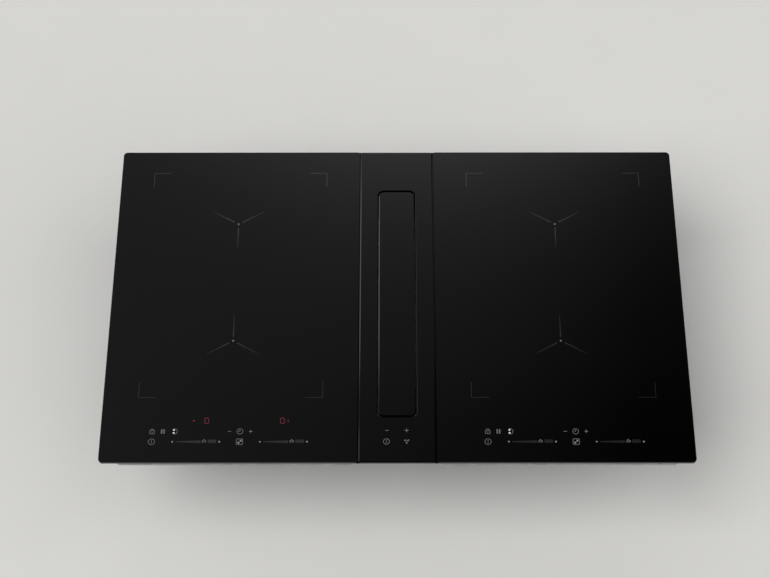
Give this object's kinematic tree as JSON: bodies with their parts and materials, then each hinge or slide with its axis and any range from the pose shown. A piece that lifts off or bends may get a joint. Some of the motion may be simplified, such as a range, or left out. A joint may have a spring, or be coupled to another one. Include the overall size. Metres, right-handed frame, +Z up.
{
  "type": "downdraft range hood with induction hob",
  "caption": "Flush black glass extractor hob: a centre downdraft hood with a tilting intake flap between two induction cooking modules with touch controls.",
  "frame": {"origin": "middle of the worktop cut-out, on the seal's underside, which is the worktop's top face", "axes": "+X to the right as the cook stands, +Y to the back, +Z up out of the worktop"},
  "size_m": [0.83, 0.52, 0.199],
  "materials": {
    "black_glass": "polished black glass-ceramic",
    "seal_rubber": "matte foam rubber",
    "zinc_steel": "galvanised sheet",
    "stainless": "brushed stainless steel",
    "black_plastic": "moulded matte",
    "pale_plastic": "natural acetal",
    "tray_plastic": "moulded satin",
    "aluminium": "mill finish",
    "copper": "enamelled copper litz",
    "ferrite": "sintered",
    "mica": "pressed mica sheet",
    "circuit_board": "solder-masked board",
    "ceramic": "unglazed ceramic"
  },
  "bodies": {
    "hob": {"worktop_seal": "seal_rubber", "left_hob_glass": "black_glass", "right_hob_glass": "black_glass", "hood_glass": "black_glass", "seam_strips": "black_plastic", "join_rails": "zinc_steel", "casing_screws": "stainless", "fixing_brackets": "zinc_steel", "left_casing": "zinc_steel", "left_insulation": "mica", "left_coils": "copper", "left_ferrites": "ferrite", "left_coil_plate": "aluminium", "left_sensors": "ceramic", "left_power_board": "circuit_board", "left_heat_sink": "aluminium", "left_fan_frame": "black_plastic", "left_touch_board": "black_plastic", "right_casing": "zinc_steel", "right_insulation": "mica", "right_coils": "copper", "right_ferrites": "ferrite", "right_coil_plate": "aluminium", "right_sensors": "ceramic", "right_power_board": "circuit_board", "right_heat_sink": "aluminium", "right_fan_frame": "black_plastic", "right_touch_board": "black_plastic", "flap_bushes": "pale_plastic", "intake_frame": "black_plastic", "flap_motor": "zinc_steel", "motor_bracket": "zinc_steel", "hood_touch_board": "black_plastic", "grease_filter": "stainless", "filter_base": "stainless", "filter_handle": "stainless", "air_shaft": "black_plastic", "housing_screws": "stainless", "plenum_housing": "black_plastic", "inlet_ring": "black_plastic", "blower_housing": "black_plastic", "motor_stator": "zinc_steel", "motor_mount": "zinc_steel", "outlet_spigot": "black_plastic", "tray_clips": "zinc_steel", "control_box": "black_plastic", "control_box_lid": "black_plastic", "cable_gland": "black_plastic"},
    "flap": {"flap_glass": "black_glass", "flap_carrier": "aluminium", "flap_front_pin": "stainless", "flap_gear_shaft": "stainless"},
    "pinion": {"flap_pinion": "pale_plastic"},
    "blower_wheel": {"fan_wheel": "black_plastic", "motor_rotor": "zinc_steel"},
    "left_fan": {"left_fan_rotor": "black_plastic"},
    "right_fan": {"right_fan_rotor": "black_plastic"},
    "tray": {"drip_tray": "tray_plastic", "tray_seal": "seal_rubber"}
  },
  "joints": [
    {"name": "flap_tilt", "type": "hinge", "parent": "hob", "child": "flap", "pos_m": [-0.008, 0, -0.003], "axis": [0, -1, 0], "range_deg": [0, 80]},
    {"name": "pinion_spin", "type": "hinge", "parent": "hob", "child": "pinion", "pos_m": [-0.008, 0.205, -0.029], "axis": [0, -1, 0], "range_deg": [-267, 0]},
    {"name": "blower_spin", "type": "hinge", "parent": "hob", "child": "blower_wheel", "pos_m": [-0.022, 0.092, -0.15], "axis": [0, 0, 1], "continuous": true},
    {"name": "left_fan_spin", "type": "hinge", "parent": "hob", "child": "left_fan", "pos_m": [-0.315, -0.104, -0.04], "axis": [0, 0, 1], "continuous": true},
    {"name": "right_fan_spin", "type": "hinge", "parent": "hob", "child": "right_fan", "pos_m": [0.1555, -0.104, -0.04], "axis": [0, 0, 1], "continuous": true},
    {"name": "tray_drop", "type": "slide", "parent": "hob", "child": "tray", "axis": [0, 0, -1], "range_m": [0, 0.036]}
  ],
  "couplings": [
    {"joint": "pinion_spin", "follows": "flap_tilt", "ratio": -3.3333}
  ]
}
